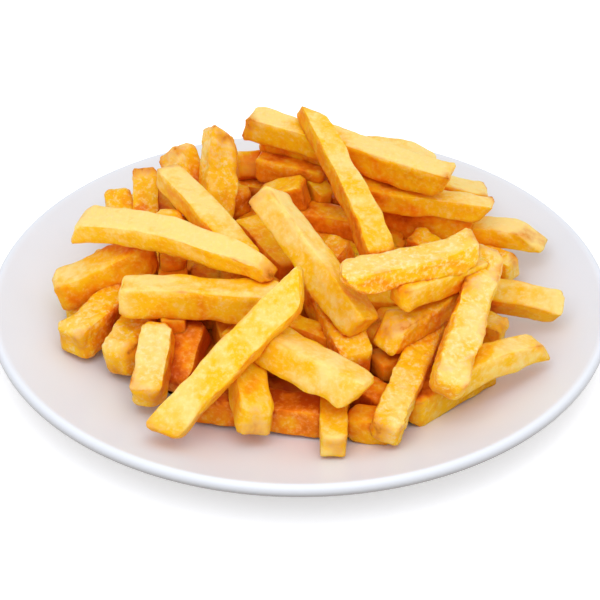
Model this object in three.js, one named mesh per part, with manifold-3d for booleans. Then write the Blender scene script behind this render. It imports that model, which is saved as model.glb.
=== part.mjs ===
// A portion of french fries heaped on a round white coupe plate.
//
// Millimetres, +Z up. The origin is on the table under the middle of the plate, which stands on its
// foot ring. A diner sits on the -Y side, and +X is on that diner's right.
//
// Two solids: the plate, turned on the axis, and the heap, in which a low core carries the fries that
// show. The heap keeps a small gap to the plate, so that the two are separate pieces.

import * as THREE from "three";
import { mergeVertices } from "three/addons/utils/BufferGeometryUtils.js";
import Module from "manifold-3d";

const wasm = await Module();
wasm.setup();

// ---- driving dimensions -------------------------------------------------------------------------

const plate = {
  radius: 105,
  height: 20,
  wall: 4.3,
  wellRadius: 60, // flat as far as this, and then curving up to the lip
  wellTop: 6.5,
  rise: 1.6, // power of the curve: 1 is a cone, 2 a bowl
  footOuter: 60,
  footInner: 54,
  footHeight: 2.2,
  footRound: 1,
  curveSteps: 6,
  lipSteps: 6,
  sides: 72,
};

const core = {
  radius: 66,
  height: 26,
  steepness: 0.6, // power of the dome: 0.5 is round, 1 a flat-sided hill
  rings: 6,
  sides: 28,
};

const fryCut = {
  corner: 0.28, // worn corner of the square section, as a share of half its width
  tip: 1.6, // worn length at each end
  tipWorn: 0.13, // how much the section shrinks on that length, as a share of it, all round
  bends: 3, // steps along a fry
};

const gap = 0.3; // between the heap and the plate
const press = 2; // how far a hidden fry sinks into what it lies on

// The draw of hidden fries that fills the heap under and behind the ones that were placed by hand.
const filling = {
  seed: 20,
  tries: 24000,
  shortest: 32,
  longest: 64,
  thinnest: 8.5,
  thickest: 11,
  flattest: 0.9, // height over width
  spread: 74, // the middles lie inside this circle,
  reach: 78, // the ends inside this one,
  back: 7, // and the middle of both circles lies this far behind the plate's
  steepest: 0.7, // rise over run
  squeeze: 3, // how far one may press into a fry above it
};

// The dome that the hidden fries stay under, and the slope that keeps them low on the diner's side.
const dome = { radius: 88, foot: 8, top: 62, steepness: 0.8 };
const front = { top: 26, from: 15, rise: 1 };

// A square map of the plate seen from above, and where across its width a fry is looked up on it.
const map = { cell: 2.5, count: 80 };
const lanes = [-0.42, -0.14, 0.14, 0.42];

// One fry, between the middles of its two end faces. roll turns it about its own length, in degrees.
// bow lifts its middle, and sway moves it to the left. At each end, cuts is how much shorter its upper
// edge is than its lower one, skew the same for its left edge, and taper scales its thickness.
const fry = (from, to, wide, tall, shape = {}) => ({
  ...{ from, to, wide, tall, roll: 0, bow: 0, sway: 0, cuts: [0, 0], skew: [0, 0], taper: [1, 1] },
  ...shape,
});

// The fries that show, from the lowest of each group to the highest.
const shownFries = [
  // right flank, from the plate up
  fry([33, -60, 14], [60, -36, 14.5], 11, 10.5),
  fry([46, -3, 13], [66, -11, 14.5], 9, 8.5),
  fry([46, -57, 21.8], [78, -38, 21.2], 9.5, 9, { bow: 3, cuts: [0, 4], taper: [1, 0.8] }),
  fry([49.5, -16, 18], [66.5, -26, 17], 8, 8),
  fry([46, -5, 23.5], [87, -17.5, 22.5], 10, 7.5, { roll: 20, cuts: [0, -3] }),
  fry([55.5, 23, 16.3], [74, 9.5, 19.5], 8.5, 8.5),
  fry([46, -20, 25], [26, -77.5, 17.5], 9, 8.5, { roll: -8, taper: [0.95, 1.05] }),
  fry([62, -15, 43], [44.5, -68, 28], 10.5, 10.5, { roll: -15, taper: [0.85, 1] }),

  // front edge, lying on the plate or just above it
  fry([-33, -55, 13.2], [10, -63, 13.2], 10, 9.5),
  fry([16, -47, 13], [33, -63, 13], 10, 9),
  fry([15, -65, 13], [29, -69, 14.5], 9, 8.5),
  fry([12, -42, 14.5], [10, -81.7, 16], 8.5, 8.5),
  fry([5, -17, 31], [18, -49, 22], 11, 11),
  fry([-5, -33, 27], [10, -37, 22], 8, 8),
  fry([-19, -46, 27], [-13, -73, 19], 10.5, 10, { roll: -12, cuts: [0, 4] }),
  fry([-11, -50, 33.2], [19, -71, 28.7], 11.5, 11.5, { roll: -15, cuts: [3, -5] }),

  // left flank
  fry([-35, -26, 22], [-41, -48, 14], 11, 10),
  fry([-51, -17, 19], [-59, -39, 16], 11, 11),
  fry([-75, -30.5, 17.5], [-51, 2, 22], 11, 12),
  fry([-81.5, -9, 23], [-49, -1, 34], 11, 11),
  fry([-43, 3, 25.5], [-41, -34, 25], 8.5, 8.5),
  fry([-45.5, -35, 27], [-48, -60, 17], 10, 11),
  fry([-44, 12, 41], [-42, -7, 30.5], 9, 9),
  fry([-66, 46, 28.5], [-61, 27, 19], 9, 8.5),
  fry([-54, 49, 26], [-41, 22, 22], 8, 8),
  fry([-55.5, 44, 39], [-53, 22, 20], 8.5, 9),
  fry([-58, -27, 34.5], [-6, -33, 35], 9.5, 11),

  // the hollow behind the middle
  fry([-20, 68, 22], [-18, 45, 41], 9, 10),
  fry([-3, 25.5, 31.3], [21, 21, 29.5], 10, 10.5),
  fry([-13, 27, 36.3], [2, 25, 41], 9, 10),
  fry([-19, 19, 31], [-3, -4, 28], 10, 10),
  fry([15, 2, 35], [4, -10, 28], 8, 8),
  fry([-15, 43, 42], [9, 37, 40], 9, 9),
  fry([-3.5, 48, 43], [7, 36, 39], 8, 8, { taper: [0.4, 0.9] }),
  fry([3, 40, 38], [9, 28, 36], 6, 6.5),
  fry([-44.5, 41, 49], [-31, 25, 30], 9.5, 9.5, { roll: 75 }),
  fry([-27.5, 37.5, 58.5], [-29.9, 12.6, 22.9], 9.5, 9, { roll: -27, skew: [4, 0] }),

  // the middle and the upper right, from the lowest up
  fry([49, -25, 33], [27.5, -44, 30], 9.5, 8, { cuts: [0, 7] }),
  fry([30, -40, 43.5], [58, -22, 42.5], 9, 8),
  fry([57, 29, 22.5], [82.5, 21.5, 25], 9, 7.5, { bow: 1, cuts: [0, 9] }),
  fry([21, 34, 31.5], [60, 26, 26.2], 11, 12.5),
  fry([32, 46, 36], [66, 48, 23.5], 9, 9),
  fry([-11, -2.5, 57], [20, -43, 33], 9.5, 10.5,
    { roll: -25, cuts: [2, 0], skew: [3, 0], taper: [0.85, 1] }),
  fry([15, -42.5, 51.5], [55.5, -25, 52.5], 11, 8.5, { bow: -2, cuts: [-10, 0], skew: [7, -2] }),

  // the crown, and the three long ones that lean on it from the left and the front
  fry([14, 26.5, 43.6], [64.5, 21.5, 36.8], 8.5, 8, { bow: -1.5, cuts: [0, -5], taper: [1, 0.85] }),
  fry([21, 40, 49.6], [47, 36, 43.6], 9, 8, { bow: 2 }),
  fry([-18, 46.5, 56.8], [50.5, 19, 50], 8.5, 9.5,
    { roll: 8, bow: 0.5, cuts: [2, -3], taper: [0.95, 1.05] }),
  fry([3.2, 39.6, 65.1], [26, -19, 42.6], 8.2, 9.4,
    { sway: 1.5, cuts: [3, 0], skew: [6.5, 0], taper: [0.85, 1.05] }),
  fry([-46, 25, 50], [-15, -21, 39.5], 11.5, 10, { sway: 0.5, cuts: [0, 5], taper: [0.75, 0.9] }),
  fry([-74, 2.3, 42.5], [-10.5, -28.2, 45], 10.5, 10,
    { roll: 15, bow: 4, cuts: [5, 5], taper: [1, 0.75] }),
  fry([1, -48, 52.5], [-42, -77, 18], 10.5, 9, { roll: -35, bow: 1, skew: [10, 4] }),

  // behind the crown, which they carry
  fry([-13, 51, 49], [13, 40.5, 46.5], 10, 9),
  fry([26, 42, 41], [46, 35.5, 38], 9, 9),
  fry([2, 70, 20], [0, 46, 42], 10, 10),
  fry([30, 70, 16], [26, 48, 38], 9.5, 9.5),
];

// ---- turned work --------------------------------------------------------------------------------

// Half a section of (radius, height) points, turned about the upright axis.
function turned(profile, sides) {
  return new THREE.LatheGeometry(profile, sides).rotateX(Math.PI / 2);
}

// ---- the plate ----------------------------------------------------------------------------------

// Height of the plate's upper face at a distance from the axis.
function plateTop(radius) {
  const lipRadius = plate.radius - plate.wall / 2;
  const share = Math.max(0, (radius - plate.wellRadius) / (lipRadius - plate.wellRadius));
  return plate.wellTop + (plate.height - plate.wellTop) * share ** plate.rise;
}

// Half of the plate's section, from the axis under the well round to the axis on top of it.
function makePlate() {
  const profile = [];
  const to = (radius, height) => profile.push(new THREE.Vector2(radius, height));
  const { footInner, footOuter, footHeight, footRound, wall, curveSteps, lipSteps } = plate;
  const lipRadius = plate.radius - wall / 2;

  to(0, footHeight);
  to(footInner, footHeight);
  to(footInner + footRound, 0);
  to(footOuter - footRound, 0);
  to(footOuter, footRound);
  for (let step = 0; step <= curveSteps; step += 1) {
    const radius = THREE.MathUtils.lerp(footOuter + footRound, lipRadius, step / curveSteps);
    to(radius, plateTop(radius) - wall);
  }
  for (let step = 1; step < lipSteps; step += 1) {
    const turn = Math.PI * (step / lipSteps - 0.5);
    to(lipRadius + (wall / 2) * Math.cos(turn), plate.height - wall / 2 + (wall / 2) * Math.sin(turn));
  }
  for (let step = curveSteps; step >= 0; step -= 1) {
    const radius = THREE.MathUtils.lerp(plate.wellRadius, lipRadius, step / curveSteps);
    to(radius, plateTop(radius));
  }
  to(0, plate.wellTop);
  return turned(profile, plate.sides);
}

// ---- one fry ------------------------------------------------------------------------------------

// A square with worn corners, one unit across.
function frySection() {
  const half = 0.5;
  const flat = half * (1 - fryCut.corner);
  const section = new THREE.Shape();
  section.moveTo(-flat, -half);
  section.lineTo(flat, -half);
  section.lineTo(half, -flat);
  section.lineTo(half, flat);
  section.lineTo(flat, half);
  section.lineTo(-flat, half);
  section.lineTo(-half, flat);
  section.lineTo(-half, -flat);
  section.closePath();
  return section;
}

// Directions of a fry: along it, level to its left and square to both, and the same two once rolled.
function fryAxes(start, end, roll) {
  const along = new THREE.Vector3().subVectors(end, start).normalize();
  const left = new THREE.Vector3().crossVectors(new THREE.Vector3(0, 0, 1), along).normalize();
  const above = new THREE.Vector3().crossVectors(along, left);
  const turn = THREE.MathUtils.degToRad(roll);
  const side = left.clone().applyAxisAngle(along, turn);
  const face = above.clone().applyAxisAngle(along, turn);
  return { along, left, above, side, face };
}

// A closed bar with worn ends, then tapered, rolled, cut slantwise at its ends, bent and laid in place.
function makeFry({ from, to, wide, tall, roll, bow, sway, cuts, skew, taper }) {
  const start = new THREE.Vector3(...from);
  const end = new THREE.Vector3(...to);
  const length = start.distanceTo(end);
  const bar = new THREE.ExtrudeGeometry(frySection(), {
    depth: length - 2 * fryCut.tip,
    steps: fryCut.bends,
    bevelEnabled: true,
    bevelThickness: fryCut.tip,
    bevelSize: fryCut.tipWorn,
    bevelOffset: -fryCut.tipWorn,
    bevelSegments: 1,
  });
  bar.translate(0, 0, fryCut.tip);
  const { along, left, above, side, face } = fryAxes(start, end, roll);
  const points = bar.getAttribute("position");
  const point = new THREE.Vector3();
  for (let index = 0; index < points.count; index += 1) {
    point.fromBufferAttribute(points, index);
    const share = point.z / length;
    const middle = 1 - (2 * share - 1) ** 2;
    const thick = THREE.MathUtils.lerp(...taper, share);
    const cut = cuts[0] * (1 - share) - cuts[1] * share;
    const askew = skew[0] * (1 - share) - skew[1] * share;
    const place = start.clone().addScaledVector(along, point.z + point.y * cut + point.x * askew);
    place.addScaledVector(above, bow * middle).addScaledVector(left, sway * middle);
    place.addScaledVector(side, point.x * wide * thick).addScaledVector(face, point.y * tall * thick);
    points.setXYZ(index, place.x, place.y, place.z);
  }
  return bar;
}

// ---- the fries that fill the heap ---------------------------------------------------------------

// Height of the core's flat underside, just clear of the plate at its edge.
function coreFoot() {
  return plateTop(core.radius) + gap;
}

// Height of the core's upper face at a distance from the axis.
function coreTop(radius) {
  const share = Math.max(0, 1 - (radius / core.radius) ** 2);
  return coreFoot() + (core.height - coreFoot()) * share ** core.steepness;
}

// The same draw each time: Lehmer's generator.
function makeDraw(seed) {
  let state = seed;
  return (low, high) => {
    state = (state * 16807) % 2147483647;
    return low + ((high - low) * state) / 2147483647;
  };
}

// The map's cell at a place on the table.
function cellAt(x, y) {
  const row = (distance) => Math.floor(distance / map.cell + map.count / 2);
  return row(x) * map.count + row(y);
}

// In each cell, the height that a hidden fry may lie on: the core, or a little over the plate.
function makeFloor() {
  const floor = new Float64Array(map.count ** 2);
  const middle = (row) => (row + 0.5 - map.count / 2) * map.cell;
  for (let i = 0; i < map.count; i += 1) {
    for (let j = 0; j < map.count; j += 1) {
      const radius = Math.hypot(middle(i), middle(j));
      const ground = plateTop(radius + map.cell) + gap + press;
      floor[i * map.count + j] = radius < core.radius ? Math.max(ground, coreTop(radius)) : ground;
    }
  }
  return floor;
}

// Calls visit(cell, height of the fry's middle there) all over the fry's plan.
function overPlan({ from, to, wide, bow }, visit) {
  const run = Math.hypot(to[0] - from[0], to[1] - from[1]);
  const [alongX, alongY] = [(to[0] - from[0]) / run, (to[1] - from[1]) / run];
  const steps = Math.max(3, Math.floor(run / (0.8 * map.cell)));
  for (let step = 0; step <= steps; step += 1) {
    const share = step / steps;
    const height = from[2] + (to[2] - from[2]) * share + bow * (1 - (2 * share - 1) ** 2);
    for (const lane of lanes) {
      const x = from[0] + (to[0] - from[0]) * share - alongY * wide * lane;
      const y = from[1] + (to[1] - from[1]) * share + alongX * wide * lane;
      visit(cellAt(x, y), height);
    }
  }
}

// Lays a fry on the floor: it comes to rest on the two high places either side of its middle.
function layDown(floor, { x, y, turn, length, wide, tall }) {
  const [alongX, alongY] = [Math.cos(turn), Math.sin(turn)];
  const places = 6; // on each half of its length
  const ridge = [];
  for (let step = -places; step <= places; step += 1) {
    const run = (length * step) / (2 * places);
    const heights = lanes.map((lane) => {
      const across = lane * wide;
      return floor[cellAt(x + alongX * run - alongY * across, y + alongY * run + alongX * across)];
    });
    ridge.push([run, Math.max(...heights)]);
  }
  let [height, slope] = [ridge[places][1], 0];
  for (const [nearRun, nearHeight] of ridge.slice(0, places)) {
    for (const [farRun, farHeight] of ridge.slice(places + 1)) {
      const rise = (farHeight - nearHeight) / (farRun - nearRun);
      if (nearHeight - rise * nearRun > height) [height, slope] = [nearHeight - rise * nearRun, rise];
    }
  }
  const level = Math.hypot(1, slope);
  const middle = height + (tall / 2) * level - press;
  const end = (sign) => {
    const run = (sign * length) / 2 / level;
    return [x + alongX * run, y + alongY * run, middle + slope * run];
  };
  return { ...fry(end(-1), end(1), wide, tall), slope };
}

// Draws fries one after another and keeps each that fits between what lies below and above it.
function fillHeap() {
  const floor = makeFloor();
  const roof = new Float64Array(floor.length).fill(Infinity);
  for (const above of shownFries) {
    overPlan(above, (cell, height) => {
      roof[cell] = Math.min(roof[cell], height - above.tall / 2);
    });
  }
  const draw = makeDraw(filling.seed);
  const fromBack = (place) => Math.hypot(place[0], place[1] - filling.back);
  const heapTop = (place) => {
    const share = Math.max(0, 1 - (fromBack(place) / dome.radius) ** 2);
    const whole = dome.foot + (dome.top - dome.foot) * share ** dome.steepness;
    return Math.min(whole, front.top + front.rise * Math.max(0, place[1] - front.from));
  };
  const kept = [];
  for (let trial = 0; trial < filling.tries; trial += 1) {
    const length = draw(filling.shortest, filling.longest);
    const wide = draw(filling.thinnest, filling.thickest);
    const tall = wide * draw(filling.flattest, 1);
    const distance = filling.spread * Math.sqrt(draw(0, 1));
    const bearing = draw(0, 2 * Math.PI);
    const turn = draw(0, Math.PI);
    const x = distance * Math.cos(bearing);
    const y = filling.back + distance * Math.sin(bearing);
    const edge = (map.cell * map.count) / 2;
    if (Math.hypot(x, y) + length / 2 > edge - 1) continue;
    const laid = layDown(floor, { x, y, turn, length, wide, tall });
    const middle = laid.from.map((value, axis) => (value + laid.to[axis]) / 2);
    const tooSteep = Math.abs(laid.slope) > filling.steepest;
    const tooWide = [laid.from, laid.to].some((place) => fromBack(place) > filling.reach);
    const tooHigh = [laid.from, middle, laid.to].some((place) => place[2] + tall / 2 > heapTop(place));
    if (tooSteep || tooWide || tooHigh) continue;
    let room = Infinity;
    overPlan(laid, (cell, height) => {
      room = Math.min(room, roof[cell] - (height + tall / 2));
    });
    if (room < -filling.squeeze) continue;
    overPlan(laid, (cell, height) => {
      floor[cell] = Math.max(floor[cell], height + tall / 2);
    });
    kept.push(laid);
  }
  return kept;
}

// ---- the heap -----------------------------------------------------------------------------------

// The dome of packed fries inside the heap, flat underneath.
function makeCore() {
  const profile = [new THREE.Vector2(0, coreFoot())];
  for (let ring = 0; ring <= core.rings; ring += 1) {
    const radius = core.radius * Math.cos((Math.PI / 2) * (ring / core.rings));
    profile.push(new THREE.Vector2(ring === core.rings ? 0 : radius, coreTop(radius)));
  }
  return turned(profile, core.sides);
}

function toSolid(geometry) {
  geometry.deleteAttribute("normal");
  geometry.deleteAttribute("uv");
  const merged = mergeVertices(geometry, 1e-4);
  const vertProperties = new Float32Array(merged.getAttribute("position").array);
  const triVerts = new Uint32Array(merged.index.array);
  return new wasm.Manifold(new wasm.Mesh({ numProp: 3, vertProperties, triVerts }));
}

function toGeometry(solid) {
  const mesh = solid.getMesh();
  const geometry = new THREE.BufferGeometry();
  geometry.setAttribute("position", new THREE.BufferAttribute(new Float32Array(mesh.vertProperties), 3));
  geometry.setIndex(new THREE.BufferAttribute(new Uint32Array(mesh.triVerts), 1));
  return geometry;
}

// The core and all the fries as one body. The largest shell is kept, which fills any hollow that the
// fries closed off and drops a fry that touches nothing.
function makeHeap() {
  const fries = [...shownFries, ...fillHeap()].map((row) => toSolid(makeFry(row)));
  const fused = fries.reduce((heap, solid) => heap.add(solid), toSolid(makeCore()));
  const shells = fused.decompose().sort((one, other) => other.volume() - one.volume());
  return toGeometry(shells[0]);
}

// ---- the portion --------------------------------------------------------------------------------

const glazedPorcelain = new THREE.MeshStandardMaterial({ color: 0xf3f1f2, roughness: 0.18, metalness: 0 });
const friedPotato = new THREE.MeshStandardMaterial({ color: 0xf2b843, roughness: 0.5, metalness: 0 });

const plateMesh = new THREE.Mesh(makePlate(), glazedPorcelain);
plateMesh.name = "plate";

const friesMesh = new THREE.Mesh(makeHeap(), friedPotato);
friesMesh.name = "fries";

const portion = new THREE.Group();
portion.add(plateMesh, friesMesh);

export default portion;
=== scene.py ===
# %% [markdown]
# # A heap of french fries on a white plate
#
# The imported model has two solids: a turned plate, and one lump that stands for the whole heap of fries.
# This lesson keeps their places and sizes and gives them their real surfaces. The plate is spun again
# with a fine outline, and the lump is replaced by single fries, each one cut, worn, bent and blistered.

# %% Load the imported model
import math
import random

import bmesh
import bpy
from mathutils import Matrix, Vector, noise
from mathutils.bvhtree import BVHTree


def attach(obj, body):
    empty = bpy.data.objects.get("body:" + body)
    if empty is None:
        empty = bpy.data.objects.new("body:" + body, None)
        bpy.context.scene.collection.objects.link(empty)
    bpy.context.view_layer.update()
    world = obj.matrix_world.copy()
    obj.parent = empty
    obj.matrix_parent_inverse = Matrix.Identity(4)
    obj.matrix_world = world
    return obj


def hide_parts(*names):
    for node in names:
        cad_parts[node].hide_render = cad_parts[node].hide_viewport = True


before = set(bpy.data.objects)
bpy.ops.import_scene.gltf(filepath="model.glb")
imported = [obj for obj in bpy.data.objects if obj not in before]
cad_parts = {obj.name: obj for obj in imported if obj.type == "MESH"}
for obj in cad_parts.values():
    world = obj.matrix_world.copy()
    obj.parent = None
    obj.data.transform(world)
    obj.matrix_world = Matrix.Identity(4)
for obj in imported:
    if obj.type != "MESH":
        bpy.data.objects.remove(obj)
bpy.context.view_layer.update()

MM = 0.001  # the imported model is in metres, and kitchen sizes are in millimetres
print("packed model:", ", ".join(sorted(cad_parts)))

# %% [markdown]
# ## The camera comes first
#
# Every shape below is judged from one seat at the table, so the camera is set before anything is made.
# A portion is usually photographed from about 35 degrees up, with a long lens that keeps the plate's
# rim a clean ellipse.

# %% Camera
CAMERA_ELEVATION = 35.0
CAMERA_DISTANCE = 584 * MM
CAMERA_ANGLE = 20.0
AIM_HEIGHT = 13.6 * MM

aim = Vector((0, 0, AIM_HEIGHT))
tilt = math.radians(CAMERA_ELEVATION)
towards_diner = Vector((0, -math.cos(tilt), math.sin(tilt)))

camera = bpy.data.objects.new("camera", bpy.data.cameras.new("camera"))
camera.data.sensor_fit = "HORIZONTAL"
camera.data.angle = math.radians(CAMERA_ANGLE)
camera.data.clip_start = 10 * MM
camera.location = aim + towards_diner * CAMERA_DISTANCE
camera.rotation_mode = "QUATERNION"
camera.rotation_quaternion = (-towards_diner).to_track_quat("-Z", "Y")
bpy.context.scene.collection.objects.link(camera)
bpy.context.scene.camera = camera
bpy.context.scene.view_settings.view_transform = "Standard"
print(f"camera: {CAMERA_ELEVATION:.0f} degrees up, {CAMERA_DISTANCE / MM:.0f} mm from the plate")

# %% [markdown]
# ## Helpers for materials
#
# Colours are easiest to choose as web hex codes, but shaders work on linear light, so one function
# turns them. A second one adds a shader node, sets its properties, and links or sets its sockets.

# %% Colour and node helpers
def srgb(hex_code):
    """A web colour such as F2B843 as linear RGBA."""
    def linear(byte):
        value = byte / 255
        return value / 12.92 if value <= 0.04045 else ((value + 0.055) / 1.055) ** 2.4

    return (*[linear(int(hex_code[i:i + 2], 16)) for i in (0, 2, 4)], 1.0)


def add_node(tree, kind, inputs=None, **properties):
    """A new shader node. An input is linked if it is another node's output, and set otherwise."""
    node = tree.nodes.new(kind)
    for name, value in properties.items():
        setattr(node, name, value)
    for name, value in (inputs or {}).items():
        if isinstance(value, bpy.types.NodeSocket):
            tree.links.new(value, node.inputs[name])
        else:
            node.inputs[name].default_value = value
    return node


def new_material(name):
    """An empty material with its tree, its Principled shader and its object coordinates."""
    material = bpy.data.materials.new(name)
    material.use_nodes = True
    tree = material.node_tree
    tree.nodes.clear()
    shader = add_node(tree, "ShaderNodeBsdfPrincipled")
    add_node(tree, "ShaderNodeOutputMaterial", {"Surface": shader.outputs["BSDF"]})
    place = add_node(tree, "ShaderNodeTexCoord").outputs["Object"]
    return material, tree, shader, place


def per_mm(size_mm):
    """Scale of a texture whose features are this many millimetres across."""
    return 1 / (size_mm * MM)


MIX_FACTOR, MIX_A, MIX_B, MIX_RESULT = 0, 6, 7, 2  # sockets of a Mix node that mixes colours


def mix_colours(tree, factor, first, second):
    """Output of a node that fades from the first colour to the second."""
    sockets = {MIX_FACTOR: factor, MIX_A: first, MIX_B: second}
    return add_node(tree, "ShaderNodeMix", sockets, data_type="RGBA").outputs[MIX_RESULT]


def between(tree, value, low, high, to_low=0.0, to_high=1.0):
    """Output of a node that stretches a value's range from low and high, clamped at both ends."""
    sockets = {"Value": value, "From Min": low, "From Max": high, "To Min": to_low, "To Max": to_high}
    return add_node(tree, "ShaderNodeMapRange", sockets).outputs["Result"]


# %% [markdown]
# ## The plate's glaze
#
# Hotel porcelain is a white, slightly see-through body under a clear glaze fired at 1400 degrees. The
# glaze is smooth but not flat: it keeps a faint long ripple, which makes reflections swim a little.
# Years of washing dull it, so it shines softly. On the outside, from the lip down, where the face turns
# towards the table, the base is painted grey as painted shade. One Principled shader is enough: a nearly
# white base with a hint of cloud in it, and a thin coat for what is left of the glaze's own shine.

# %% Porcelain
RIPPLE_LENGTH, RIPPLE_DEPTH = 20, 0.4  # of the glaze, in mm


def make_porcelain():
    """Glazed hotel porcelain: cool white with a soft shine and a long ripple, and painted grey shade
    outside.
    """
    material, tree, shader, place = new_material("glazed_porcelain")
    ripple = add_node(tree, "ShaderNodeTexNoise", {
        "Vector": place, "Scale": per_mm(RIPPLE_LENGTH), "Detail": 1.0,
    }).outputs["Fac"]
    bump = add_node(tree, "ShaderNodeBump", {
        "Height": ripple, "Strength": 0.06, "Distance": RIPPLE_DEPTH * MM,
    })
    white = mix_colours(tree, ripple, srgb("E9ECF0"), srgb("EDF0F4"))
    # painted shade: the base turns grey where the face turns down, on the lip's outside and underneath
    underside_shade = add_node(tree, "ShaderNodeAttribute", attribute_name="underside_shade").outputs["Fac"]
    shade = mix_colours(tree, underside_shade, white, srgb("85817D"))
    tree.links.new(shade, shader.inputs["Base Color"])
    tree.links.new(bump.outputs["Normal"], shader.inputs["Normal"])
    shader.inputs["Roughness"].default_value = 0.4
    shader.inputs["IOR"].default_value = 1.5
    shader.inputs["Specular IOR Level"].default_value = 0.3
    shader.inputs["Coat Weight"].default_value = 0.1
    shader.inputs["Coat Roughness"].default_value = 0.15
    return material


porcelain = make_porcelain()
print("made", porcelain.name)

# %% [markdown]
# ## The plate
#
# A coupe plate has no flat rim: its well runs up to the lip in one curve. A potter turns it, and here a
# half section is spun round the upright axis in the same way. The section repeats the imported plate's
# sizes with more points on each curve, so that the lip and the foot ring are round up close.

# %% Plate sizes
PLATE_RADIUS = 105.0
PLATE_HEIGHT = 20.0
PLATE_WALL = 4.3
WELL_RADIUS, WELL_TOP, WELL_RISE = 60.0, 6.5, 1.6  # its rise is the power of the curve up to the lip
FOOT_OUTER, FOOT_INNER, FOOT_HEIGHT = 60.0, 54.0, 2.2
FOOT_ROUND = 1.0
FOOT_CLEAR = 2.0  # from the round of the foot ring to where the underside's curve begins
WELL_LOOP = 10.0  # how far inside the well a ring of points keeps its flat floor shaded flat
LIP_RADIUS = PLATE_RADIUS - PLATE_WALL / 2
ROUND_STEPS, CURVE_STEPS, LIP_STEPS, SPIN_STEPS = 6, 30, 16, 180  # how finely each curve is cut


def plate_top(radius):
    """Height of the plate's upper face at a distance from its axis, in mm."""
    share = max(0.0, (radius - WELL_RADIUS) / (LIP_RADIUS - WELL_RADIUS))
    return WELL_TOP + (PLATE_HEIGHT - WELL_TOP) * share ** WELL_RISE


def plate_section():
    """(radius, height) points from the axis under the well, round the lip, to the axis on top."""
    quarter = [math.radians(90 / ROUND_STEPS * step) for step in range(ROUND_STEPS + 1)]
    low_outer = FOOT_OUTER - FOOT_ROUND
    section = [(0, FOOT_HEIGHT), (FOOT_INNER - FOOT_ROUND, FOOT_HEIGHT)]
    section += [(FOOT_INNER + FOOT_ROUND * math.sin(t), FOOT_HEIGHT * math.cos(t)) for t in quarter]
    section += [(low_outer + FOOT_ROUND * math.sin(t), FOOT_ROUND * (1 - math.cos(t))) for t in quarter]
    curve_width = low_outer + FOOT_CLEAR - LIP_RADIUS
    curve = [LIP_RADIUS + curve_width * (1 - step / CURVE_STEPS) for step in range(CURVE_STEPS + 1)]
    section += [(radius, plate_top(radius) - PLATE_WALL) for radius in curve]
    for step in range(1, LIP_STEPS):
        turn = math.pi * (step / LIP_STEPS - 0.5)
        section.append((
            LIP_RADIUS + PLATE_WALL / 2 * math.cos(turn),
            PLATE_HEIGHT - PLATE_WALL / 2 + PLATE_WALL / 2 * math.sin(turn),
        ))
    section += [(radius, plate_top(radius)) for radius in reversed(curve)]
    section += [(WELL_RADIUS - WELL_LOOP, WELL_TOP), (0, WELL_TOP)]
    return section


# %% Plate
MERGED = 0.01  # points nearer than this become one, in mm
# upward part of the surface's normal where the painted grey shade of the lip's outside starts, and where
# it is full
SHADE_FROM, SHADE_FULL = 0.95, -0.3


def finish_piece(name, shape, material, node=None):
    """Makes a bmesh an object at the origin that rides on the part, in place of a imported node."""
    mesh = bpy.data.meshes.new(name)
    shape.to_mesh(mesh)
    shape.free()
    mesh.materials.append(material)
    piece = bpy.data.objects.new(name, mesh)
    bpy.context.scene.collection.objects.link(piece)
    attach(piece, "root")
    if node:
        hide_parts(node)
    triangles = sum(len(polygon.vertices) - 2 for polygon in mesh.polygons)
    print(f"{name}: {triangles} triangles")


def spin_plate():
    """The plate, spun from its half section, with where its face turns down marked for painted grey
    shade.
    """
    plate = bmesh.new()
    underside_shade = plate.verts.layers.float.new("underside_shade")
    points = [plate.verts.new((radius * MM, 0, height * MM)) for radius, height in plate_section()]
    edges = [plate.edges.new(pair) for pair in zip(points, points[1:])]
    bmesh.ops.spin(
        plate, geom=points + edges, cent=(0, 0, 0), axis=(0, 0, 1),
        angle=math.tau, steps=SPIN_STEPS, use_merge=True,
    )
    bmesh.ops.remove_doubles(plate, verts=plate.verts, dist=MERGED * MM)
    bmesh.ops.recalc_face_normals(plate, faces=plate.faces)
    for face in plate.faces:
        face.smooth = True
    plate.normal_update()
    # the more a face turns down, the more painted grey shade it gets
    for vertex in plate.verts:
        share = (SHADE_FROM - vertex.normal.z) / (SHADE_FROM - SHADE_FULL)
        vertex[underside_shade] = max(0.0, min(1.0, share))
    return plate


finish_piece("plate_glazed", spin_plate(), porcelain, "plate")

# %% [markdown]
# ## The skin of a fry
#
# Thick-cut fries are fried twice. The second, hotter bath drives the last water out through the face of
# the potato, which leaves a skin of tiny blisters, golden all over and brown where an edge or a tip was
# thin enough to burn. In the heap, the faces that see the open sky are painted pale, as a painted
# highlight, the sides stay a deep yellow, and what is shut in is painted amber, as painted shade.
# Under the skin the potato lets light through, so the shaded sides glow orange instead of going grey.
#
# The shader follows that. Three attributes come with each mesh: `crisp` is how brown a point is, `tone`
# is how much lighter or darker the whole fry is, and the third is how openly the point lies, which the
# shader paints as light and shade. Noise at three sizes mixes the colours. Blisters, flecks and pores
# raise the skin, and subsurface scattering lets the light through. The oil soaks in as the skin cools,
# so a film this thin shines less than its IOR would give.

# %% Fried potato
# how far across each is, in mm: real pores are finer than 0.8 and would not show
PATCH, MOTTLE, FLECK, PORE, BLISTER = 9, 3, 1.5, 0.8, 2.0
BLISTER_HEIGHT, FLECK_HEIGHT, PORE_DEPTH = 0.5, 0.3, 0.1  # in mm
NOISE_SPAN = (0.3, 0.7)  # nearly all of a noise lies in here
# how openly a point lies, with its tone, where each colour starts and where it is full (amber is painted
# shade, pale a painted highlight), and then how crisp
AMBER_SHADE_SPAN, YELLOW_SPAN, PALE_HIGHLIGHT_SPAN = (-0.2, 0.15), (0.15, 0.55), (0.62, 1.0)
ORANGE_CRISP, BROWN_CRISP = (0.16, 0.5), (0.45, 0.75)


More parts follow.
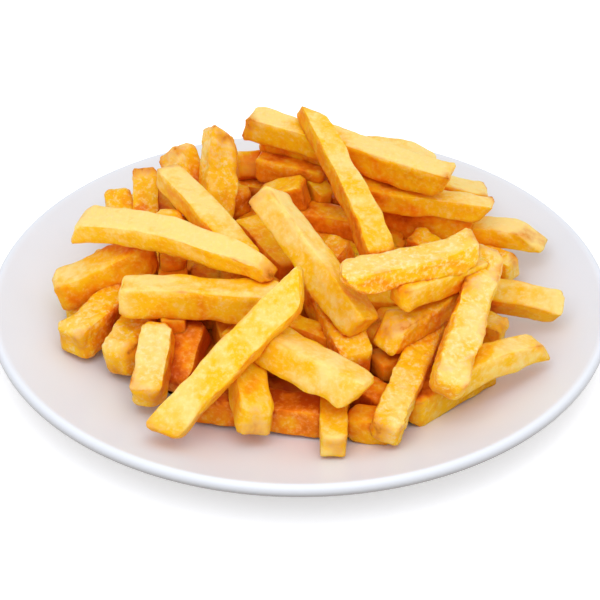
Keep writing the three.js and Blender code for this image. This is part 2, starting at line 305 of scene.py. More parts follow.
def make_fried_potato(name, blister_depth, fleck_and_glint_share):
    """Deep-fried potato: golden skin with a film of oil over a moist, see-through inside."""
    material, tree, shader, place = new_material(name)
    crisp, painted_light, tone = [
        add_node(tree, "ShaderNodeAttribute", attribute_name=layer).outputs["Fac"]
        for layer in ("crisp", "painted_light", "tone")
    ]

    def cloud(size_mm, detail):
        sockets = {"Vector": place, "Scale": per_mm(size_mm), "Detail": detail, "Roughness": 0.6}
        return add_node(tree, "ShaderNodeTexNoise", sockets).outputs["Fac"]

    def combine(operation, first, second):
        return add_node(tree, "ShaderNodeMath", {0: first, 1: second}, operation=operation).outputs[0]

    patches, mottle = cloud(PATCH, 2.0), cloud(MOTTLE, 4.0)
    flecks, pores = cloud(FLECK, 3.0), cloud(PORE, 3.0)

    # painted shade in amber where it is shut in, deep yellow on the sides, painted highlight in pale
    # where it lies open
    painted_light_and_tone = combine("ADD", painted_light, between(tree, tone, -2.0, 2.0, -0.5, 0.5))
    painted_light_and_tone = combine("ADD", painted_light_and_tone, between(tree, patches, *NOISE_SPAN, -0.2, 0.2))
    painted_light_and_tone = combine("ADD", painted_light_and_tone, between(tree, mottle, *NOISE_SPAN, -0.13, 0.13))
    amber_shade = mix_colours(tree, between(tree, painted_light_and_tone, *AMBER_SHADE_SPAN), srgb("C85406"), srgb("F2880A"))
    yellow = mix_colours(tree, between(tree, painted_light_and_tone, *YELLOW_SPAN), amber_shade, srgb("FABE12"))
    pale_highlight = mix_colours(tree, between(tree, painted_light_and_tone, *PALE_HIGHLIGHT_SPAN), yellow, srgb("FBD880"))
    # pale flecks only where it lies open: partly the skin's own specks, partly painted glints
    fleck_and_glint_at = combine("MULTIPLY", between(tree, flecks, 0.5, 0.68, 0.0, fleck_and_glint_share), painted_light)
    flecked_and_glinting = mix_colours(tree, fleck_and_glint_at, pale_highlight, srgb("FBE0A0"))

    # orange and brown where it is crisp
    brown_at = combine("MULTIPLY", crisp, mottle)
    orange = mix_colours(tree, between(tree, brown_at, *ORANGE_CRISP), flecked_and_glinting, srgb("E08A1C"))
    brown = mix_colours(tree, between(tree, brown_at, *BROWN_CRISP), orange, srgb("9A5410"))
    tree.links.new(brown, shader.inputs["Base Color"])

    # blisters, then flecks and pores on them, each finer and lower than the last
    blisters = add_node(tree, "ShaderNodeTexVoronoi", {
        "Vector": place, "Scale": per_mm(BLISTER), "Smoothness": 0.6, "Randomness": 1.0,
    }, feature="SMOOTH_F1").outputs["Distance"]
    blister_bump = add_node(tree, "ShaderNodeBump", {
        "Height": blisters, "Strength": blister_depth, "Distance": BLISTER_HEIGHT * MM,
    }, invert=True).outputs["Normal"]
    fleck_bump = add_node(tree, "ShaderNodeBump", {
        "Height": flecks, "Strength": 0.5, "Distance": FLECK_HEIGHT * MM, "Normal": blister_bump,
    }).outputs["Normal"]
    pore_bump = add_node(tree, "ShaderNodeBump", {
        "Height": pores, "Strength": 0.3, "Distance": PORE_DEPTH * MM, "Normal": fleck_bump,
    }).outputs["Normal"]
    tree.links.new(pore_bump, shader.inputs["Normal"])
    tree.links.new(between(tree, mottle, 0.35, 0.65, 0.38, 0.55), shader.inputs["Roughness"])

    shader.inputs["IOR"].default_value = 1.45
    shader.inputs["Specular IOR Level"].default_value = 0.13
    shader.inputs["Subsurface Weight"].default_value = 0.4
    shader.inputs["Subsurface Radius"].default_value = (1.0, 0.35, 0.06)
    shader.inputs["Subsurface Scale"].default_value = 3.0 * MM
    return material


smooth_skin = make_fried_potato("fried_potato_smooth", blister_depth=0.3, fleck_and_glint_share=0.4)
blistered_skin = make_fried_potato("fried_potato_blistered", blister_depth=0.6, fleck_and_glint_share=1.0)
print("made", smooth_skin.name, "and", blistered_skin.name)

# %% [markdown]
# ## One fry
#
# A fry starts as a square stick. Loop cuts divide it finely, and then its points are moved: out to a
# worn corner, in and out by lumps and blisters, along its bend and its twist, and to its slanted ends.
# The cuts crowd towards the corners, where the shape turns fastest. The places, sizes and bends repeat
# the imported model's, so each fry lies where its solid does.

# %% Cut a stick
END_FACE = 0.499  # further out than this along the unit cube, a point is on an end face


def cut_stick(heap, cuts_along, cuts_across):
    """A unit cube in the heap's bmesh, with loop cuts along each axis. Returns its vertices."""
    first = len(heap.verts)
    stick = bmesh.ops.create_cube(heap, size=1)["verts"]
    for axis, cuts in enumerate((cuts_along, cuts_across, cuts_across)):
        edges = {edge for vertex in stick for edge in vertex.link_edges}
        ring = [edge for edge in edges if abs((edge.verts[0].co - edge.verts[1].co)[axis]) > 0.5]
        bmesh.ops.subdivide_edges(heap, edges=ring, cuts=cuts)
        heap.verts.ensure_lookup_table()
        stick = heap.verts[first:]
    return stick


# %% Wear and skin of a fry
CORNER = 0.23  # radius of the worn corner, as a share of the fry's width
CORNER_SPREAD = (0.8, 1.25)  # how much that differs from fry to fry
WEAR, UNEVEN_WEAR, WEAR_LENGTH = 0.85, 0.7, 9  # and along a fry, over so many mm
SHARPEST = 0.5  # the least radius, in mm
END_ROUND = 1.7  # how much rounder the edges of its ends are
CROWDED = 0.5  # how much closer the cuts lie at the ends than on average
PUFF = 0.45  # how far the skin puffs up on its edges, in mm
HOLLOW = 0.4  # how far the middle of a face sinks again as it dries, in mm
LUMPS = ((0.65, 13), (0.4, 5.5), (0.12, 2.5))  # height and width of the lumps, in mm
DOMES, BUBBLES = (0.55, 3.4), (0.3, 1.7)  # the same for the large and small blisters of a full crust
DOME_EDGE = 0.75  # where a large blister ends, as a share of its width


def worn(place, half, radius):
    """A point on a box, moved in to where the box's edges have this radius."""
    inner = Vector([max(-(h - radius), min(h - radius, p)) for p, h in zip(place, half)])
    out = place - inner
    return inner + out.normalized() * radius if out.length > 0 else place


def lump_height(place):
    """How far lumps lift the skin at a place: three sizes of noise on top of each other."""
    return sum(height * noise.noise(place / width) for height, width in LUMPS)


def crust_height(place):
    """How far a full crust lifts it: round domes with creases between them, and small bubbles."""
    near = noise.voronoi(place / DOMES[1])[0][0]
    dome = max(0.0, 1 - (near / DOME_EDGE) ** 2)
    return DOMES[0] * dome + BUBBLES[0] * noise.noise(place / BUBBLES[1])


# %% Shape a fry
noise.seed_set(20)  # unseeded, noise_vector shifts its pattern by the clock, and no two runs agree

TWIST = 4  # how far a fry may be twisted, in degrees
OWN_TONE = 0.3  # how much its tone may differ from the one in its row
OWN_PLACE = 500  # how far off in the noise a fry takes its own piece of it, in mm
WAVE, WAVE_LENGTH = 0.8, 22  # how far a fry wanders off its line, and over what length, in mm
BROWN_EDGE, BROWN_TIP, BROWN_CRUST = 0.6, 0.7, 0.35  # how crisp an edge, a tip and a crust get
TIP_LENGTH, BROWN_PATCH = 5, 8  # in mm


def shape_fry(heap, fry, number, cuts_along, cuts_across):
    """Adds one fry to the heap's bmesh. All sizes in here are in mm until the last step."""
    crisp_layer, tone_layer = heap.verts.layers.float["crisp"], heap.verts.layers.float["tone"]
    start, end = Vector(fry["start"]), Vector(fry["end"])
    length, along = (end - start).length, (end - start).normalized()
    left = Vector((0, 0, 1)).cross(along).normalized()
    above = along.cross(left)
    roll = math.radians(fry["roll"])
    half = Vector((length, fry["wide"], fry["tall"])) / 2
    dice = random.Random(number * 7 + 3)  # each fry's number gives it dice of its own
    twist = math.radians(dice.uniform(-TWIST, TWIST))
    tone = fry["tone"] + dice.uniform(-OWN_TONE, OWN_TONE)
    offset = Vector([dice.uniform(-OWN_PLACE, OWN_PLACE) for _ in range(3)])
    corner = CORNER * fry["wide"] * dice.uniform(*CORNER_SPREAD)

    for vertex in cut_stick(heap, cuts_along, cuts_across):
        unit = vertex.co.copy()
        at_end = abs(unit.x) > END_FACE
        unit.x += CROWDED * math.sin(math.tau * unit.x) / math.tau
        across = Vector([math.sin(math.pi * value) / 2 for value in (unit.y, unit.z)])
        place = Vector((unit.x * length, across.x * fry["wide"], across.y * fry["tall"]))
        wear = noise.noise(Vector((place.x / WEAR_LENGTH, unit.y, unit.z)) + offset)
        radius = max(SHARPEST, corner * (WEAR + UNEVEN_WEAR * wear))
        squeezed = Vector((place.x / END_ROUND, place.y, place.z))
        place = worn(squeezed, Vector((half.x / END_ROUND, half.y, half.z)), radius)
        place.x *= END_ROUND
        share = place.x / length + 0.5

        # out from the fry's core line, or straight out of its ends
        outward = Vector((0, place.y, place.z)) / half.y
        if at_end:
            outward = Vector((math.copysign(1.0, unit.x), 0, 0))
        here = place + offset
        sunk = HOLLOW * (1 - 4 * min(across.x ** 2, across.y ** 2))
        place += outward * (lump_height(here) + fry["crust"] * crust_height(here) + PUFF - sunk)

        # narrower or wider towards an end, twisted, and wavy as a soft stick dries
        thick = fry["taper"][0] * (1 - share) + fry["taper"][1] * share
        turn = roll + twist * 2 * unit.x
        side = left * math.cos(turn) + above * math.sin(turn)
        face = above * math.cos(turn) - left * math.sin(turn)
        wave = noise.noise_vector(Vector((place.x / WAVE_LENGTH, 0, 0)) + offset) * WAVE

        # bent, and cut off slantwise about the middles of its end faces
        middle = 1 - (2 * share - 1) ** 2
        slant = place.z / fry["tall"] * (fry["cuts"][0] * (1 - share) - fry["cuts"][1] * share)
        slant += place.y / fry["wide"] * (fry["skew"][0] * (1 - share) - fry["skew"][1] * share)
        spot = start + along * (place.x + length / 2 + slant)
        spot += above * fry["bow"] * middle + left * fry["sway"] * middle
        spot += side * (place.y * thick + wave.y) + face * (place.z * thick + wave.z)
        vertex.co = spot * MM

        # browner on the corners, and browner still at the tips
        edge = abs(across.x) * abs(across.y) * 4
        tip = max(0.0, 1 - min(share, 1 - share) * length / TIP_LENGTH)
        patch = 0.5 + noise.noise(here / BROWN_PATCH)
        brown = BROWN_EDGE * edge ** 3 + BROWN_TIP * tip + BROWN_CRUST * fry["crust"]
        vertex[crisp_layer] = min(1.0, brown * patch)
        vertex[tone_layer] = tone


# %% [markdown]
# ## The fries that show
#
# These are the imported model's own fries, one row each: where the middles of its end faces are, its
# width and height, and its roll about its length. `bow` lifts its middle and `sway` moves it to the
# left. At each end, `cuts` is how much shorter its upper edge is than its lower one, `skew` the same
# for its left edge, and `taper` scales its thickness. Two more numbers are for the skin: `crust` is how
# blistered it is, and `tone` how light or dark it came out of the oil.

# %% Rows of fries
def fry_row(start, end, wide, tall, roll=0, bow=0, sway=0, cuts=(0, 0), skew=(0, 0), taper=(1, 1),
            crust=0.25, tone=0.0):
    """One fry, in mm and degrees."""
    return {
        "start": start, "end": end, "wide": wide, "tall": tall, "roll": roll, "bow": bow, "sway": sway,
        "cuts": cuts, "skew": skew, "taper": taper, "crust": crust, "tone": tone,
    }


right_flank = [
    fry_row((33, -60, 14), (60, -36, 14.5), 11, 10.5),
    fry_row((46, -3, 13), (66, -11, 14.5), 9, 8.5, tone=0.4),
    fry_row((46, -57, 21.8), (78, -38, 21.2), 9.5, 9, bow=3, cuts=(0, 4), taper=(1, 0.8), tone=0.3),
    fry_row((49.5, -16, 18), (66.5, -26, 17), 8, 8, crust=0.9, tone=0.5),
    fry_row((46, -5, 23.5), (87, -17.5, 22.5), 10, 7.5, roll=20, cuts=(0, -3), tone=0.3),
    fry_row((55.5, 23, 16.3), (74, 9.5, 19.5), 8.5, 8.5, crust=0.5, tone=0.4),
    fry_row((46, -20, 25), (26, -77.5, 17.5), 9, 8.5, roll=-8, taper=(0.95, 1.05), crust=0.8),
    fry_row((62, -15, 43), (44.5, -68, 28), 10.5, 10.5, roll=-15, taper=(0.85, 1), crust=1.0, tone=-0.1),
]
front_edge = [
    # its tone of -1.7 paints this low front fry dark amber, as painted shade under the heap
    fry_row((-33, -55, 13.2), (10, -63, 13.2), 10, 9.5, tone=-1.7),
    fry_row((16, -47, 13), (33, -63, 13), 10, 9, tone=-0.5),
    fry_row((15, -65, 13), (29, -69, 14.5), 9, 8.5, tone=-0.3),
    fry_row((12, -42, 14.5), (10, -81.7, 16), 8.5, 8.5, crust=0.1),
    fry_row((5, -17, 31), (18, -49, 22), 11, 11, crust=0.4),
    fry_row((-5, -33, 27), (10, -37, 22), 8, 8),
    fry_row((-19, -46, 27), (-13, -73, 19), 10.5, 10, roll=-12, cuts=(0, 4), crust=0.1),
    fry_row((-11, -50, 33.2), (19, -71, 28.7), 11.5, 11.5, roll=-15, cuts=(3, -5), crust=0.2, tone=0.1),
]
left_flank = [
    # its tone of -1.7 paints this fry dark amber, as painted shade low on the heap's left
    fry_row((-35, -26, 22), (-41, -48, 14), 11, 10, tone=-1.7),
    fry_row((-51, -17, 19), (-59, -39, 16), 11, 11, crust=1.0),
    fry_row((-75, -30.5, 17.5), (-51, 2, 22), 11, 12, crust=0.4),
    fry_row((-81.5, -9, 23), (-49, -1, 34), 11, 11, tone=-0.3),
    fry_row((-43, 3, 25.5), (-41, -34, 25), 8.5, 8.5, tone=-0.4),
    fry_row((-45.5, -35, 27), (-48, -60, 17), 10, 11, crust=0.5),
    fry_row((-44, 12, 41), (-42, -7, 30.5), 9, 9),
    fry_row((-66, 46, 28.5), (-61, 27, 19), 9, 8.5, crust=0.6, tone=-0.2),
    fry_row((-54, 49, 26), (-41, 22, 22), 8, 8),
    fry_row((-55.5, 44, 39), (-53, 22, 20), 8.5, 9, crust=0.4),
    fry_row((-58, -27, 34.5), (-6, -33, 35), 9.5, 11, crust=0.1, tone=0.5),
]
hollow = [
    fry_row((-20, 68, 22), (-18, 45, 41), 9, 10, tone=-0.1),
    fry_row((-3, 25.5, 31.3), (21, 21, 29.5), 10, 10.5, tone=-0.4),
    fry_row((-13, 27, 36.3), (2, 25, 41), 9, 10),
    fry_row((-19, 19, 31), (-3, -4, 28), 10, 10, tone=-0.4),
    fry_row((15, 2, 35), (4, -10, 28), 8, 8, crust=1.0, tone=-0.4),
    fry_row((-15, 43, 42), (9, 37, 40), 9, 9, tone=-0.5),
    fry_row((-3.5, 48, 43), (7, 36, 39), 8, 8, taper=(0.4, 0.9)),
    fry_row((3, 40, 38), (9, 28, 36), 6, 6.5, tone=0.5),
    fry_row((-44.5, 41, 49), (-31, 25, 30), 9.5, 9.5, roll=75, crust=0.4),
    fry_row((-27.5, 37.5, 58.5), (-29.9, 12.6, 22.9), 9.5, 9, roll=-27, skew=(4, 0),
            crust=1.0, tone=0.2),
]
upper_right = [
    fry_row((49, -25, 33), (27.5, -44, 30), 9.5, 8, cuts=(0, 7), crust=0.8, tone=0.7),
    fry_row((30, -40, 43.5), (58, -22, 42.5), 9, 8, tone=-0.2),
    fry_row((57, 29, 22.5), (82.5, 21.5, 25), 9, 7.5, bow=1, cuts=(0, 9), crust=0.3, tone=0.8),
    fry_row((21, 34, 31.5), (60, 26, 26.2), 11, 12.5, tone=-0.4),
    fry_row((32, 46, 36), (66, 48, 23.5), 9, 9, tone=0.2),
    fry_row((-11, -2.5, 57), (20, -43, 33), 9.5, 10.5, roll=-25, cuts=(2, 0), skew=(3, 0),
            taper=(0.85, 1), tone=0.6),
    fry_row((15, -42.5, 51.5), (55.5, -25, 52.5), 11, 8.5, bow=-2, cuts=(-10, 0), skew=(7, -2),
            crust=0.45, tone=-0.4),
]
crown = [
    fry_row((14, 26.5, 43.6), (64.5, 21.5, 36.8), 8.5, 8, bow=-1.5, cuts=(0, -5), taper=(1, 0.85)),
    fry_row((21, 40, 49.6), (47, 36, 43.6), 9, 8, bow=2),
    fry_row((-18, 46.5, 56.8), (50.5, 19, 50), 8.5, 9.5, roll=8, bow=0.5, cuts=(2, -3),
            taper=(0.95, 1.05), tone=0.6),
    fry_row((3.2, 39.6, 65.1), (26, -19, 42.6), 8.2, 9.4, sway=1.5, cuts=(3, 0), skew=(6.5, 0),
            taper=(0.85, 1.05), crust=0.1, tone=-0.5),
    fry_row((-46, 25, 50), (-15, -21, 39.5), 11.5, 10, sway=0.5, cuts=(0, 5), taper=(0.75, 0.9),
            crust=0.1, tone=0.5),
    fry_row((-74, 2.3, 42.5), (-10.5, -28.2, 45), 10.5, 10, roll=15, bow=4, cuts=(5, 5), taper=(1, 0.75),
            crust=0.15, tone=0.4),
    fry_row((1, -48, 52.5), (-42, -77, 18), 10.5, 9, roll=-35, bow=1, skew=(10, 4),
            crust=0.2, tone=-0.6),
]
behind_crown = [
    fry_row((-13, 51, 49), (13, 40.5, 46.5), 10, 9),
    fry_row((26, 42, 41), (46, 35.5, 38), 9, 9),
    fry_row((2, 70, 20), (0, 46, 42), 10, 10, crust=0.4),
    fry_row((30, 70, 16), (26, 48, 38), 9.5, 9.5, crust=0.5),
]
shown_fries = right_flank + front_edge + left_flank + hollow + upper_right + crown + behind_crown
print(len(shown_fries), "fries placed by hand")

# %% [markdown]
# ## The fries behind and below
#
# A heap is more than its front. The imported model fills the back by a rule, and the same rule runs here,
# with the same seed: draw a fry, lay it on what is already there, and keep it if it fits under the
# fries above. A map of the plate, seen from above, holds how high the heap stands in each cell.
#
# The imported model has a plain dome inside. Here the dome is lower and the rule runs a second time over
# it, so that what shows through the gaps is more fries. These lie side by side rather than on each
# other: one is kept if enough of what it would cover is still bare.

# %% The draw
LEHMER_FACTOR, LEHMER_PRIME = 16807, 2147483647


def make_draw(seed):
    """Lehmer's generator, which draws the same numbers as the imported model's source."""
    state = seed

    def draw(low, high):
        nonlocal state
        state = (state * LEHMER_FACTOR) % LEHMER_PRIME
        return low + (high - low) * state / LEHMER_PRIME

    return draw


# %% The map
CELL, CELLS = 2.5, 80  # size of a cell in mm, and how many there are along each side of the map
LANES = (-0.42, -0.14, 0.14, 0.42)  # where across its width a fry is looked up on the map
STRIDE = 0.8  # and how often along its length, in cells
GAP = 0.3  # between the dome's foot and the plate, in mm
PRESS = 2.0  # how far a soft fry presses into what it lies on, in mm
DOME_RADIUS, DOME_HEIGHT, DOME_POWER = 66.0, 26.0, 0.6
CORE_SUNK = 5.0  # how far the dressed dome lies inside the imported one, in mm


def cell_at(x, y):
    """Index of the map's cell at a place on the table."""
    return math.floor(x / CELL + CELLS / 2) * CELLS + math.floor(y / CELL + CELLS / 2)


def dome_top(radius):
    """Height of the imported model's inner dome at a distance from the axis."""
    foot = plate_top(DOME_RADIUS) + GAP
    share = max(0.0, 1 - (radius / DOME_RADIUS) ** 2)
    return foot + (DOME_HEIGHT - foot) * share ** DOME_POWER


def make_floor(sunk):
    """What a drawn fry may lie on in each cell: the plate, or the dome, sunk by this much."""
    floor = [0.0] * CELLS ** 2
    for i in range(CELLS):
        for j in range(CELLS):
            radius = math.hypot((i + 0.5 - CELLS / 2) * CELL, (j + 0.5 - CELLS / 2) * CELL)
            ground = plate_top(radius + CELL) + GAP + PRESS
            dome = dome_top(radius) - sunk if radius < DOME_RADIUS else ground
            floor[i * CELLS + j] = max(ground, dome)
    return floor


def over_plan(fry):
    """Yields (cell, height of the fry's middle there) all over the fry's plan."""
    start, end = fry["start"], fry["end"]
    run = math.hypot(end[0] - start[0], end[1] - start[1])
    along_x, along_y = (end[0] - start[0]) / run, (end[1] - start[1]) / run
    steps = max(3, math.floor(run / (STRIDE * CELL)))
    for step in range(steps + 1):
        share = step / steps
        height = start[2] + (end[2] - start[2]) * share + fry["bow"] * (1 - (2 * share - 1) ** 2)
        for lane in LANES:
            x = start[0] + (end[0] - start[0]) * share - along_y * fry["wide"] * lane
            y = start[1] + (end[1] - start[1]) * share + along_x * fry["wide"] * lane
            yield cell_at(x, y), height


# %% Lay a fry down
PLACES = 6  # where a fry may rest, on each half of its length


def lay_down(floor, x, y, turn, length, wide, tall):
    """A fry at rest on the two high places either side of its middle, and its slope."""
    along_x, along_y = math.cos(turn), math.sin(turn)
    ridge = []
    for step in range(-PLACES, PLACES + 1):
        run = length * step / (2 * PLACES)
        at_x, at_y = x + along_x * run, y + along_y * run
        under = [cell_at(at_x - along_y * lane * wide, at_y + along_x * lane * wide) for lane in LANES]
        ridge.append((run, max(floor[cell] for cell in under)))
    height, slope = ridge[PLACES][1], 0.0
    for near_run, near_height in ridge[:PLACES]:
        for far_run, far_height in ridge[PLACES + 1:]:
            rise = (far_height - near_height) / (far_run - near_run)
            if near_height - rise * near_run > height:
                height, slope = near_height - rise * near_run, rise
    level = math.hypot(1, slope)
    middle = height + tall / 2 * level - PRESS
    ends = []
    for sign in (-1, 1):
        run = sign * length / 2 / level
        ends.append((x + along_x * run, y + along_y * run, middle + slope * run))
    return ends, slope


# %% Fill the heap
# Each rule: how many fries are drawn and how long they are, how far from the heap's middle a fry's
# own middle and its ends may be, how far it may press into the fries above it, and how much of what
# it would cover has to be bare. All lengths are in mm.
OUTER = {
    "seed": 20, "tries": 24000, "shortest": 32, "longest": 64,
    "spread": 74, "reach": 78, "squeeze": 3, "bare": 0.0,
}
INNER = {
    "seed": 5, "tries": 6000, "shortest": 24, "longest": 44,
    "spread": 70, "reach": 76, "squeeze": 4, "bare": 0.45,
}
THINNEST, THICKEST = 8.5, 11  # width of a fry, in mm
FLATTEST = 0.9  # least height of a fry, as a share of its width
STEEPEST = 0.7  # slope on which a fry still stays put
CRUST_LEAST, CRUST_MORE = 0.3, 0.4  # how blistered it is at least, and how much more it may be
BACK = 7  # how far the heap's middle lies behind the plate's, in mm
EDGE_KEPT = 1  # width of the map's edge where no fry ends, in mm
HEAP_RADIUS, HEAP_FOOT, HEAP_TOP, HEAP_POWER = 88, 8, 62, 0.8
# the heap is lower on the diner's side: FRONT_TOP high as far back as FRONT_FROM, and rising from there
FRONT_TOP, FRONT_FROM, FRONT_RISE = 26, 15, 1.0


def fill_heap(above, rule, floor, lid=None):
    """Draws fries one after another and keeps each that fits between what is below and above it."""
    roof = [math.inf] * len(floor)
    for fry in above:
        for cell, height in over_plan(fry):
            roof[cell] = min(roof[cell], height - fry["tall"] / 2)
    draw = make_draw(rule["seed"])

    def from_back(place):
        return math.hypot(place[0], place[1] - BACK)

    def heap_top(place):
        share = max(0.0, 1 - (from_back(place) / HEAP_RADIUS) ** 2)
        whole = HEAP_FOOT + (HEAP_TOP - HEAP_FOOT) * share ** HEAP_POWER
        return min(whole, FRONT_TOP + FRONT_RISE * max(0, place[1] - FRONT_FROM))

    top_of = lid or heap_top
    kept, covered = [], set()
    for _ in range(rule["tries"]):
        length = draw(rule["shortest"], rule["longest"])
        wide = draw(THINNEST, THICKEST)
        tall = wide * draw(FLATTEST, 1)
        distance = rule["spread"] * math.sqrt(draw(0, 1))
        bearing = draw(0, math.tau)
        turn = draw(0, math.pi)
        x, y = distance * math.cos(bearing), BACK + distance * math.sin(bearing)
        if math.hypot(x, y) + length / 2 > CELL * CELLS / 2 - EDGE_KEPT:
            continue
        (start, end), slope = lay_down(floor, x, y, turn, length, wide, tall)
        middle = [(one + other) / 2 for one, other in zip(start, end)]
        if abs(slope) > STEEPEST or max(from_back(start), from_back(end)) > rule["reach"]:
            continue
        if any(place[2] + tall / 2 > top_of(place) for place in (start, middle, end)):
            continue
        blistered = CRUST_LEAST + CRUST_MORE * math.sin(7 * x) ** 2  # its place stands in for a draw
        fry = fry_row(start, end, wide, tall, crust=blistered)
        plan = list(over_plan(fry))
        if min(roof[cell] - (height + tall / 2) for cell, height in plan) < -rule["squeeze"]:
            continue
        if sum(cell not in covered for cell, height in plan) < rule["bare"] * len(plan):
            continue
        covered.update(cell for cell, height in plan)
        if not rule["bare"]:  # later fries may lie on this one
            for cell, height in plan:
                floor[cell] = max(floor[cell], height + tall / 2)
        kept.append(fry)
    return kept


def over_dome(place):
    """How high the inner draw may reach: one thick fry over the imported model's dome."""
    return dome_top(math.hypot(place[0], place[1])) + THICKEST


outer_fries = fill_heap(shown_fries, OUTER, make_floor(0))
inner_fries = fill_heap(shown_fries + outer_fries, INNER, make_floor(CORE_SUNK), over_dome)
print(len(outer_fries), "fries behind,", len(inner_fries), "fries below")

# %% [markdown]
# ## Build the heap
#
# A million triangles of potato would be wasted where nobody looks, so the fries that show are cut about
# every millimetre and the hidden ones every two. They are joined into pieces by their skin and by how
# much of them shows.

# %% Heaps of fries
CORE_RINGS, CORE_SPIN_STEPS = 16, 96
CORE_LUMP = (1.5, 6)  # height and width of the lumps on the core, in mm
CORE_EDGE = 0.5  # height over its foot below which the core stays smooth, in mm
# the core's low tone paints it darker amber, as painted shade deep in the gaps
CORE_CRISP, CORE_SHADE_TONE = 0.4, -1.0


def open_heap():
    """An empty bmesh with the layers that the potato's shader reads."""
    heap = bmesh.new()
    for layer in ("crisp", "painted_light", "tone"):
        heap.verts.layers.float.new(layer)
    return heap


def build_fries(fries, first_number, cut_mm, cuts_across):
    """One bmesh that holds all these fries."""
    heap = open_heap()
    for number, fry in enumerate(fries, first_number):
        length = (Vector(fry["end"]) - Vector(fry["start"])).length
        shape_fry(heap, fry, number, round(length / cut_mm), cuts_across)
    return heap


def build_core():
    """The lumpy dome of packed fries at the bottom of the heap, which shows only deep in the gaps.

    As with a fry, all sizes in here are in mm until the last step.
    """
    core = open_heap()
    foot = dome_top(DOME_RADIUS)
    turns = [math.pi / 2 * step / CORE_RINGS for step in range(CORE_RINGS + 1)]
    rings = [DOME_RADIUS * math.cos(turn) for turn in turns]
    profile = [(0, foot)]
    profile += [(max(0, radius - CORE_SUNK), dome_top(radius) - CORE_SUNK) for radius in rings]
    points = [core.verts.new((radius, 0, max(foot, height))) for radius, height in profile]
    edges = [core.edges.new(pair) for pair in zip(points, points[1:])]
    bmesh.ops.spin(
        core, geom=points + edges, cent=(0, 0, 0), axis=(0, 0, 1),
        angle=math.tau, steps=CORE_SPIN_STEPS, use_merge=True,
    )
    bmesh.ops.remove_doubles(core, verts=core.verts, dist=MERGED)
    bmesh.ops.recalc_face_normals(core, faces=core.faces)
    crisp_layer, tone_layer = core.verts.layers.float["crisp"], core.verts.layers.float["tone"]
    lump, width = CORE_LUMP
    for vertex in core.verts:
        if vertex.co.z > foot + CORE_EDGE:
            vertex.co.z += lump * noise.noise(vertex.co / width)
        vertex.co = vertex.co * MM
        vertex[crisp_layer], vertex[tone_layer] = CORE_CRISP, CORE_SHADE_TONE
    return core


# %% [markdown]
# ## How openly each point lies
#
# Thirty-six rays go out from each point in six rings, each ring for a sixth of the sphere. The share
# that misses the heap, weighted by how squarely it meets the skin, is how openly the point lies, and the
# shader of the fries paints that as light and shade. A ray that goes down counts for less. The result is
# 1 on top of the heap, about 0.7 on an open side, 0.4 under an open fry, and nothing deep in a gap.

# %% Rays
# heights of the rings on a sphere of radius 1
RAY_RINGS = (-5 / 6, -3 / 6, -1 / 6, 1 / 6, 3 / 6, 5 / 6)
RAYS_IN_RING = 6
FROM_BELOW = 0.4  # what a ray that goes down counts for
RAY_START = 0.4 * MM  # clear of the skin it starts from


def sky_rays():
    """(direction, weight) of each ray, each ring turned against the last."""
    rays = []
    for ring, height in enumerate(RAY_RINGS):
        level = math.sqrt(1 - height ** 2)
        for step in range(RAYS_IN_RING):
            turn = math.tau * (step + ring / 3) / RAYS_IN_RING
            direction = Vector((level * math.cos(turn), level * math.sin(turn), height))
            rays.append((direction, 1.0 if height > 0 else FROM_BELOW))
    return rays


def fill_painted_light(heaps):
    """Smooths the faces of all the heaps and fills in how openly each point lies, for painted light and
    shade.
    """
    places, corners = [], []
    for heap in heaps:
        first = len(places)
        heap.verts.index_update()
        heap.normal_update()
        places += [vertex.co.copy() for vertex in heap.verts]
        corners += [[first + vertex.index for vertex in face.verts] for face in heap.faces]
    whole = BVHTree.FromPolygons(places, corners)
    rays = sky_rays()
    full = sum(max(0.0, direction.z) for direction, weight in rays)
    for heap in heaps:
        painted_light_layer = heap.verts.layers.float["painted_light"]
        for face in heap.faces:
            face.smooth = True
        for vertex in heap.verts:
            start, open_share = vertex.co + vertex.normal * RAY_START, 0.0
            for direction, weight in rays:
                facing = vertex.normal.dot(direction)
                if facing > 0 and whole.ray_cast(start, direction)[0] is None:
                    open_share += facing * weight
            vertex[painted_light_layer] = open_share / full


# %% Build, dry and finish
BLISTERED_FROM = 0.35  # a fry with at least this much crust has the blistered skin

smooth_fries = [fry for fry in shown_fries if fry["crust"] < BLISTERED_FROM]
crusty_fries = [fry for fry in shown_fries if fry["crust"] >= BLISTERED_FROM]
smooth_heap = build_fries(smooth_fries, first_number=100, cut_mm=1.1, cuts_across=9)
blistered_heap = build_fries(crusty_fries, first_number=200, cut_mm=0.8, cuts_across=11)
behind_heap = build_fries(outer_fries, first_number=300, cut_mm=2.0, cuts_across=7)
below_heap = build_fries(inner_fries, first_number=400, cut_mm=2.6, cuts_across=5)
core_heap = build_core()
fill_painted_light([smooth_heap, blistered_heap, behind_heap, below_heap, core_heap])

finish_piece("fries_smooth", smooth_heap, smooth_skin, "fries")
finish_piece("fries_blistered", blistered_heap, blistered_skin)
finish_piece("fries_behind", behind_heap, blistered_skin)
finish_piece("fries_below", below_heap, smooth_skin)
finish_piece("fries_core", core_heap, smooth_skin)

# %% [markdown]
# ## The table and the light
#
# Food on a blank white ground is shot on a light table: the lamp under the acrylic washes out the
# shadows round the plate. A white room gives most of the light. A large softbox high up behind, on the
# right, models the tops of the fries, and a small cool one over the diner's side fills their fronts.

# %% Table
TABLE_SIZE = 3000 * MM  # it runs far out of the view on every side
TABLE_GLOW = 0.4
SMEAR_LENGTH = 90  # of the faint wipe marks on the acrylic, in mm


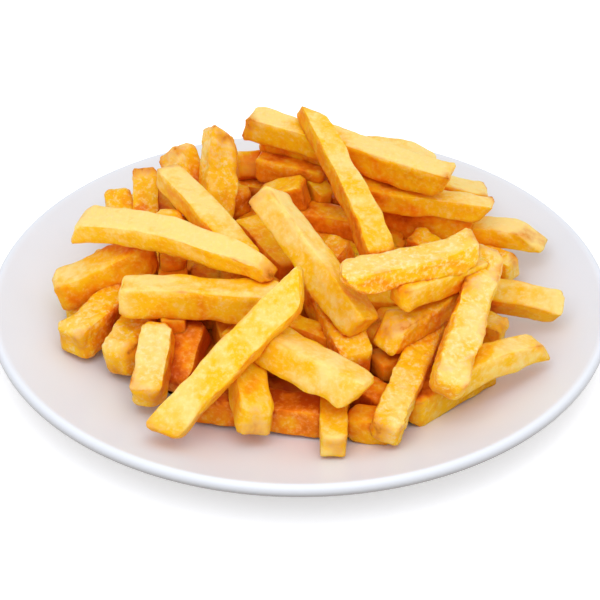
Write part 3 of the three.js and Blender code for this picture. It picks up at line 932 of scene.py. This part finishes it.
def make_table():
    """A light table of cast acrylic: matt and white, with a weak lamp under it, so shadows are faint."""
    material, tree, shader, place = new_material("white_acrylic_light_table")
    smears = add_node(tree, "ShaderNodeTexNoise", {"Vector": place, "Scale": per_mm(SMEAR_LENGTH)})
    white = mix_colours(tree, smears.outputs["Fac"], srgb("FCFCFC"), srgb("FEFEFE"))
    tree.links.new(white, shader.inputs["Base Color"])
    shader.inputs["Roughness"].default_value = 0.7
    shader.inputs["Emission Color"].default_value = srgb("FFFFFF")
    shader.inputs["Emission Strength"].default_value = TABLE_GLOW
    top = bmesh.new()
    bmesh.ops.create_grid(top, x_segments=1, y_segments=1, size=TABLE_SIZE)
    mesh = bpy.data.meshes.new("table")
    top.to_mesh(mesh)
    top.free()
    mesh.materials.append(material)
    table = bpy.data.objects.new("table", mesh)
    bpy.context.scene.collection.objects.link(table)


make_table()

# %% Light
ROOM_LIGHT = 0.75


def add_softbox(name, azimuth, elevation, distance, size, watts, colour):
    """A square light that faces the plate. Azimuth 0 is behind the heap, and 90 is to its right.

    Lights are placed from far off, so their distances and sizes are in metres.
    """
    light = bpy.data.lights.new(name, "AREA")
    light.shape = "SQUARE"
    light.size = size
    light.energy = watts
    light.color = srgb(colour)[:3]
    across, up = math.radians(azimuth), math.radians(elevation)
    level = math.cos(up)
    direction = Vector((math.sin(across) * level, math.cos(across) * level, math.sin(up)))
    lamp = bpy.data.objects.new(name, light)
    lamp.location = aim + direction * distance
    lamp.rotation_mode = "QUATERNION"
    lamp.rotation_quaternion = direction.to_track_quat("Z", "Y")
    bpy.context.scene.collection.objects.link(lamp)


add_softbox("key", azimuth=50, elevation=68, distance=1.2, size=1.0, watts=1.2, colour="FFFDF8")
add_softbox("fill", azimuth=185, elevation=55, distance=0.5, size=0.4, watts=1.2, colour="F0F5FF")

world = bpy.data.worlds.new("white_room")
world.use_nodes = True
room = world.node_tree.nodes["Background"]
room.inputs["Color"].default_value = srgb("FBFBFF")
room.inputs["Strength"].default_value = ROOM_LIGHT
bpy.context.scene.world = world

# %% [markdown]
# ## Finish
#
# The dressed model has to keep the imported model's size.

# %% Finish
bpy.context.view_layer.update()
